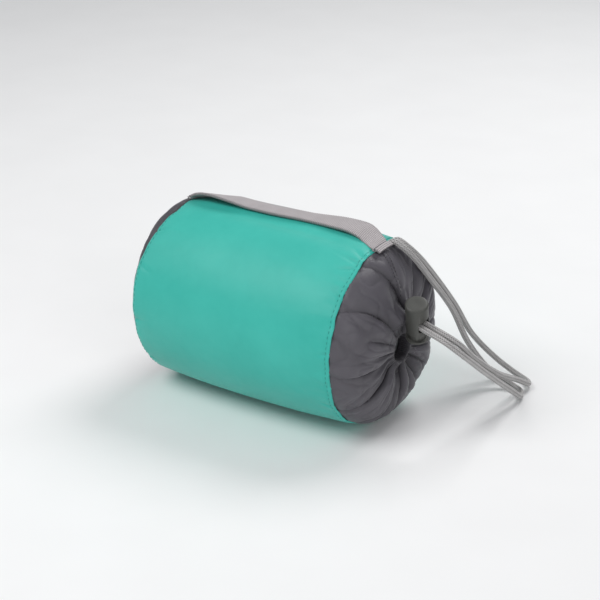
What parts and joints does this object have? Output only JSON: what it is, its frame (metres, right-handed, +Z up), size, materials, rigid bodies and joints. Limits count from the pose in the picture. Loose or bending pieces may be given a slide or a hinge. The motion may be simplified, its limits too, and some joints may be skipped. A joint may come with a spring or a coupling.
{
  "type": "camp pillow",
  "caption": "Inflatable camp pillow rolled up in its round stuff sack, with a gathered drawcord mouth, a barrel cord lock and a webbing carry strap.",
  "frame": {"origin": "on the ground, under the middle of the sack's length and width", "axes": "+X along the sack to its gathered mouth, +Y to the side that the drawcord hangs down, +Z up"},
  "size_m": [0.1136, 0.0821, 0.065],
  "materials": {
    "teal_cloth": "thin coated nylon, plain weave with a soft satin sheen, sea green",
    "grey_cloth": "thin coated nylon, plain weave with a soft satin sheen, dark grey",
    "seam_tape": "folded binding tape, matt dark grey",
    "webbing": "ribbed grosgrain, matt light grey",
    "cord": "braided polyester, matt light grey",
    "thread": "sewing thread, matt charcoal",
    "lock_plastic": "moulded acetal, dark greenish grey, half matt",
    "spring_steel": "drawn spring wire, plain steel",
    "valve_plastic": "moulded thermoplastic polyurethane, dark grey",
    "silicone": "silicone rubber, milky white",
    "brushed_cloth": "brushed polyester knit, soft and matt, pale grey",
    "bladder_film": "thin polyurethane film, pale and slightly glossy"
  },
  "bodies": {
    "sack": {"sack_body": "teal_cloth", "base_panel": "grey_cloth", "mouth_panel": "grey_cloth", "drawcord_channel": "grey_cloth", "base_seam_tape": "seam_tape", "mouth_seam_tape": "seam_tape", "side_seam_tape": "seam_tape", "carry_strap": "webbing", "strap_mouth_stitching": "thread", "strap_base_stitching": "thread", "cord_anchor_stitching": "thread", "drawcord": "cord", "valve_flange": "valve_plastic", "valve_insert": "valve_plastic", "valve_cap": "valve_plastic", "pillow_face_fabric": "brushed_cloth", "bladder_upper_film": "bladder_film", "bladder_baffle": "bladder_film", "bladder_lower_film": "bladder_film", "pillow_base_fabric": "grey_cloth"},
    "lock": {"lock_barrel": "lock_plastic", "lock_spring": "spring_steel"},
    "plunger": {"lock_plunger": "lock_plastic"},
    "flap": {"valve_flap": "silicone"}
  },
  "joints": [
    {"name": "lock_slide", "type": "slide", "parent": "sack", "child": "lock", "axis": [0.97, -0.1164, -0.2134], "range_m": [0, 0.006]},
    {"name": "plunger_press", "type": "slide", "parent": "lock", "child": "plunger", "axis": [0.1615, -0.3475, 0.9237], "range_m": [0, 0.0022], "stiffness_N_per_m": 400, "springref_m": -0.002, "deforming": ["lock_spring"]},
    {"name": "flap_open", "type": "slide", "parent": "sack", "child": "flap", "axis": [-1, 0, 0], "range_m": [0, 0.0012], "stiffness_N_per_m": 20, "springref_m": -0.0002}
  ]
}
